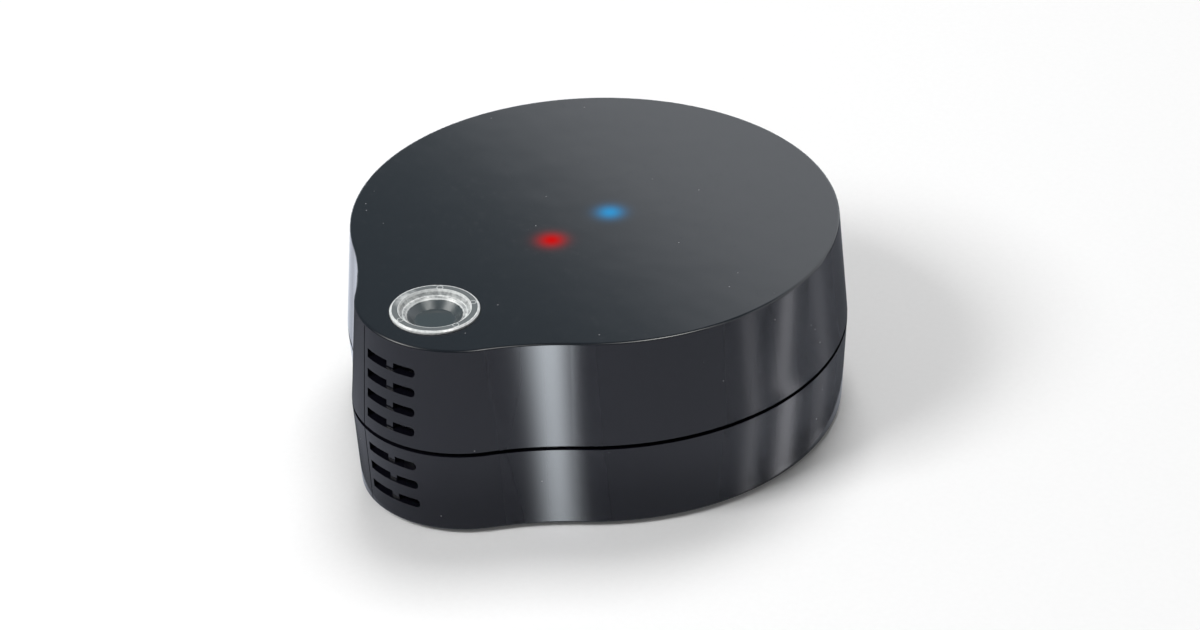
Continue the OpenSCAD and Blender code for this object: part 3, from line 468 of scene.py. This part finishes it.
def circuit_board(name, node, mask, track, pads_per_mm=0.55):
    """Solder mask over tracks, with a gold pad in the middle of some cells."""
    p, link = begin(name, 0.35)
    tracks = tracks_of(p)
    some_cells = p.cells(pads_per_mm, "Color").parts()[0] > PAD_CELLS
    pad = p.cells(pads_per_mm).step(*PAD_EDGES, 1.0, 0.0) * some_cells
    link(Base_Color=pad.colour(tracks.colour(mask, track), PAD_GOLD), Metallic=pad,
         Roughness=pad * -0.1 + p.noise(1.0) * 0.1 + 0.3, Normal=tracks.most(pad).bump(0.03))
    wear(name, node)


circuit_board("main_mask", "main_board", GREEN_MASK, GREEN_TRACK)
circuit_board("module_mask", "wifi_board", MODULE_MASK, MODULE_TRACK, pads_per_mm=0.9)
circuit_board("sensor_mask", "sensor_board", GREEN_MASK, GREEN_TRACK, pads_per_mm=0.8)
print("materials so far:", len(bpy.data.materials))

# %% [markdown]
# ## Parts of two materials
# An emitter is a tinted lens on steel legs, and a chip resistor has white ceramic under a dark film. Each is
# one node with one material. Where one kind ends and the other begins is told by height alone, which holds
# as long as the part stands upright.

# %% Parts of two materials
WHITE, SWITCH_BLACK = (0.75, 0.75, 0.72), (0.02, 0.02, 0.02)
EMITTER_LENS, RECEIVER_LENS = (0.05, 0.035, 0.09), (0.02, 0.018, 0.025)
RED_LIGHT, BLUE_LIGHT, LIGHT_STRENGTH = (1.0, 0.02, 0.02), (0.05, 0.4, 1.0), 4.0
PLATE_DEPTH, LIGHT_DEPTH, FILM_DEPTH, SWITCH_LID, BORDER = 5.6, 0.3, 0.1, 0.4, 0.02


def two_kinds(name, node, height, lower, upper, metal_below=True, glow_above=0.0):
    """One colour below a height in mm and another above it, with metal below or light above where asked."""
    p, link = begin(name, 0.3, Emission_Strength=glow_above)
    above = p.parts()[2].step(height - BORDER, height + BORDER)
    stain = p.noise(2.0, 2.0)
    base = stain.colour([c * 0.9 for c in lower], lower)
    link(Base_Color=above.colour(base, upper), Roughness=stain * 0.12 + 0.2)
    if metal_below:
        link(Metallic=1.0 - above)
    if glow_above:
        link(Emission_Color=above.colour((0, 0, 0), upper))
    wear(name, node)


plate_z = top_of("emitter_holder") - PLATE_DEPTH
two_kinds("emitter_epoxy", "ir_emitters", plate_z, STEEL, EMITTER_LENS)
two_kinds("receiver_epoxy", "ir_receiver", plate_z, STEEL, RECEIVER_LENS)
two_kinds("red_light", "red_led", top_of("red_led") - LIGHT_DEPTH,
          WHITE, RED_LIGHT, metal_below=False, glow_above=LIGHT_STRENGTH)
two_kinds("blue_light", "blue_led", top_of("blue_led") - LIGHT_DEPTH,
          WHITE, BLUE_LIGHT, metal_below=False, glow_above=LIGHT_STRENGTH)
two_kinds("resistor_film", "chip_resistors", top_of("chip_resistors") - FILM_DEPTH,
          WHITE, DARK, metal_below=False)
two_kinds("switch_body", "reset_switch", top_of("reset_switch") - SWITCH_LID,
          SWITCH_BLACK, STEEL, metal_below=False)
print("nodes without a material:", [name for name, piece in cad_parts.items()
                                    if not piece.data.materials or piece.data.materials[0] is None])

# %% [markdown]
# ## The floor
# The hub stands on white paper. A floor that only glows would be easy and pure white, but it would show no
# shadow. So this one is matt and lit by the lamps, with a very little light of its own to lift the shadow. In
# the photograph the case mirrors the paper a shade bluer, so the gloss sees a bluish paper.

# %% Floor
FLOOR_SIDE, FLOOR_GLOW, FIBRES_PER_MM = 8, 0.05, 0.9
WHITE_PAPER, BLUISH_PAPER = ((0.8, 0.8, 0.8), (0.83, 0.83, 0.83)), ((0.65, 0.69, 0.79), (0.67, 0.71, 0.82))


def add_stage(name, mesh):
    """Puts a mesh into the scene as an object of its own."""
    piece = bpy.data.objects.new(name, mesh)
    bpy.context.scene.collection.objects.link(piece)
    return piece


def rays(tree):
    """Which kind of ray is asking: from the camera, off a gloss or through something clear, each 1 or 0."""
    node = tree.nodes.new("ShaderNodeLightPath")
    return [Flow(tree, node.outputs["Is " + kind + " Ray"]) for kind in ("Camera", "Glossy", "Transmission")]


x, y = [grid.reshape(-1) * FLOOR_SIDE / 2 for grid in np.meshgrid((-1, 1), (-1, 1))]
square = bpy.data.meshes.new("floor")
square.from_pydata(np.stack([x, y, 0 * x], -1).tolist(), [], [(0, 1, 3, 2)])
floor = add_stage("floor", square)
p, link = begin("paper", 0.9, Specular_IOR_Level=0.0, Emission_Strength=1.0)
camera_ray, glossy_ray, clear_ray = rays(p.tree)
seen = largest([camera_ray, glossy_ray, clear_ray])
fibre = p.noise(FIBRES_PER_MM)
link(Base_Color=glossy_ray.colour(fibre.colour(*WHITE_PAPER), fibre.colour(*BLUISH_PAPER)),
     Emission_Color=(seen * FLOOR_GLOW).colour((0, 0, 0), (1, 1, 1)))
floor.data.materials.append(bpy.data.materials["paper"])
print("the floor is", FLOOR_SIDE, "m wide")

# %% [markdown]
# ## The lamps
# Two soft lamps light the studio. The key lamp stands at the front left, so the wide shadow falls to the
# right, and a lamp behind the hub leaves the thin shadow in front. A large lamp would show in the polished
# roof as a bright square, so both are hidden from the gloss, which gets its own things to show below.

# %% Lamps
def add_lamp(name, towards, distance, size, watts):
    """A square soft lamp that looks at the object."""
    lamp = bpy.data.objects.new(name, bpy.data.lights.new(name, "AREA"))
    lamp.data.size, lamp.data.energy = size, watts
    spot = Vector(towards).normalized()
    lamp.location = spot * distance
    lamp.rotation_euler = spot.to_track_quat("Z", "Y").to_euler()
    lamp.visible_glossy = False
    bpy.context.scene.collection.objects.link(lamp)


add_lamp("key", towards=(-0.29, -0.8, 0.85), distance=1.2, size=0.45, watts=9.8)
add_lamp("rear", towards=(-0.22, 0.4, 1.1), distance=1.2, size=0.5, watts=8.6)
print("lamps:", [light.name for light in bpy.data.lights])

# %% [markdown]
# ## The sky
# The roof is flat and glossy, so it shows one patch of the sky. In the photograph that patch is dark over the
# nose and grows pale towards the far right edge, so the sky of the gloss does the same. Two small bright
# spots in it draw the thin light lines along the rounded edge. The camera itself sees plain white, and matt
# surfaces get an even grey light.

# %% Sky
SKY_DARK, SKY_PALE, SKY_GREY = (0.27, 0.36, 0.4), (1.5, 1.58, 1.66), (0.2, 0.2, 0.2)
PALE_SIDE, PALE_RISE, HORIZON = (0.342, 0.94), (0.77, 0.86), 0.03
SPOT_PLACES, SPOT_WIDTH, SPOT_LIGHT = ((-0.47, -0.44, 0.76), (0.55, -0.09, 0.81)), 0.22, (13.0, 12.9, 12.4)

world = bpy.data.worlds.new("studio")
bpy.context.scene.world = world
world.use_nodes = True
tree = world.node_tree
camera_ray, glossy_ray, clear_ray = rays(tree)
direction = camera_ray.make("ShaderNodeTexCoord", {}, "Generated").parts()
x, y, z = direction
rise = ((x * PALE_SIDE[0] + y * PALE_SIDE[1]) / z.most(HORIZON)).step(*PALE_RISE)
spots = [bell(far(direction, place), SPOT_WIDTH) for place in SPOT_PLACES]
bright = largest(spots).colour((0, 0, 0), SPOT_LIGHT)
glossy_sky = rise.make("ShaderNodeMix", {0: 1.0, 6: rise.colour(SKY_DARK, SKY_PALE), 7: bright}, 2,
                       data_type="RGBA", blend_type="ADD")
sky = camera_ray.most(clear_ray).colour(glossy_ray.colour(SKY_GREY, glossy_sky), (1, 1, 1))
tree.links.new(sky.socket, tree.nodes["Background"].inputs["Color"])
print("the sky has", len(spots), "bright spots")

# %% [markdown]
# ## Strips of light and dark cards
# A glossy wall shows whatever stands in front of it. A photographer puts tall strips of light beside a black
# product to draw its shape, and dark cards where an edge should stay black. Straight strips would give
# slanting bands on the round walls, so each strip here is curved like the wall that it stands in front of,
# leans away from it, and turns a little as it rises.

# %% The shape of a strip
STRIP_LOW, STRIP_HIGH = -0.5, 36.7
STRIP_REACH, COLUMNS, ROWS = 3, 25, 13
SEAM_SHARE, PIVOT_SHARE = 0.46, 0.7


def strip_surface(name, wall, normal, turn, width, low, high, lean):
    """A curved strip in front of a round wall: its centre, and its radius, below 0 for a hollow wall.

    At the share v of its height it stands away = low + (high - low) v from the wall. Across it, u goes from
    -3 to 3, and the angle is normal + (away tan(turn) + width u) / radius, so that its reflection stays
    upright. Above the seam, where the wall slopes the other way, lean (v - 0.7) is added to the angle.
    """
    (cx, cy), radius = wall
    u, v = np.meshgrid(np.linspace(-STRIP_REACH, STRIP_REACH, COLUMNS), np.linspace(0, 1, ROWS))
    away = low + (high - low) * v
    angle = math.radians(normal) + (away * math.tan(math.radians(turn)) + width * u) / radius
    angle = angle + np.where(v > SEAM_SHARE, math.radians(lean) * (v - PIVOT_SHARE), 0.0)
    points = np.stack([cx + (radius + away) * np.cos(angle), cy + (radius + away) * np.sin(angle),
                       STRIP_LOW + (STRIP_HIGH - STRIP_LOW) * v], -1).reshape(-1, 3) * MM
    grid = np.arange(u.size).reshape(u.shape)
    faces = np.stack([grid[:-1, :-1], grid[:-1, 1:], grid[1:, 1:], grid[1:, :-1]], -1).reshape(-1, 4)
    mesh = bpy.data.meshes.new(name)
    mesh.from_pydata(points.tolist(), [], faces.tolist())
    across_and_up = np.stack([u, v], -1).reshape(-1, 2)[faces.reshape(-1)]
    mesh.uv_layers.new(name="across").data.foreach_set("uv", across_and_up.reshape(-1).astype(np.float32))
    return mesh


print("a strip is a grid of", COLUMNS, "by", ROWS, "points")

# %% [markdown]
# ## The light of a strip
# A strip is bright along its middle and clear at its sides, as a bell curve. It is seen only in gloss: it
# throws no shadow and lights nothing matt. A dark card is the same strip without light, which dims what is
# seen through it.

# %% The light of a strip
def emission(flow, tint, strength):
    """Light of one colour and strength."""
    return flow.make("ShaderNodeEmission", {"Color": (*tint, 1), "Strength": strength})


def strip_light(name, tint, dim, fade):
    """Light and dimming by a bell curve across the strip, the light stronger towards the top by fade."""
    material = bpy.data.materials.new(name)
    material.use_nodes = True
    material.cycles.emission_sampling = "NONE"
    tree = material.node_tree
    tree.nodes.clear()
    across, up, _ = Flow(tree, tree.nodes.new("ShaderNodeUVMap").outputs[0]).parts()
    foot, head = emission(up, tint, 1.0 - fade / 2), emission(up, tint, 1.0 + fade / 2)
    light = up.make("ShaderNodeMixShader", {0: up, 1: foot, 2: head})
    hole = up.make("ShaderNodeBsdfTransparent", {"Color": (dim, dim, dim, 1)})
    lit = up.make("ShaderNodeAddShader", {0: light, 1: hole})
    clear = up.make("ShaderNodeBsdfTransparent", {"Color": (1, 1, 1, 1)})
    strip = up.make("ShaderNodeMixShader", {0: bell(across * across, 1.0), 1: clear, 2: lit})
    tree.links.new(strip.socket, tree.nodes.new("ShaderNodeOutputMaterial").inputs["Surface"])
    return material


def add_strip(name, wall, normal, turn, width, tint, dim=1.0, low=0.6, high=9.0, fade=0.0, lean=0.0):
    """A strip of light, or a dark card where the tint is black and dim is small."""
    strip = add_stage(name, strip_surface(name, wall, normal, turn, width, low, high, lean))
    strip.visible_camera = strip.visible_diffuse = strip.visible_transmission = strip.visible_shadow = False
    strip.data.materials.append(strip_light(name, tint, dim, fade))


print("strips can be lit")

# %% [markdown]
# ## Place the strips
# The photograph's hub shows one broad band on its hollow waist and three fainter ones on its round side. The
# angles below put the strips where the camera sees their mirror images at those places. One card keeps the
# far right edge black and one the left edge of the nose.

# %% Place the strips
WAIST, BODY, NOSE = ((60, -75), -55.7), ((0, 5), 44.6), ((0, -30), 19.6)
NO_LIGHT = (0, 0, 0)
add_strip("waist_strip", WAIST, normal=-49.5, turn=-9.0, width=3.1, tint=(9.1, 9.8, 10.4), low=0.8, fade=0.6)
add_strip("first_side_strip", BODY, normal=-12.5, turn=36.0, width=2.2, tint=(0.85, 0.85, 0.9))
add_strip("second_side_strip", BODY, normal=-1.5, turn=46.0, width=3.0, tint=(1.75, 1.75, 1.85), lean=14.0)
add_strip("third_side_strip", BODY, normal=13.0, turn=58.0, width=3.4, tint=(0.42, 0.42, 0.45), high=6.0)
add_strip("right_card", BODY, normal=40.0, turn=0.0, width=26.0, tint=NO_LIGHT, dim=0.2, low=1.0, high=1.0)
add_strip("left_card", NOSE, normal=-150.0, turn=0.0, width=15.0, tint=NO_LIGHT, dim=0.1, low=0.8, high=0.8)
print("strips and cards stand round the case")
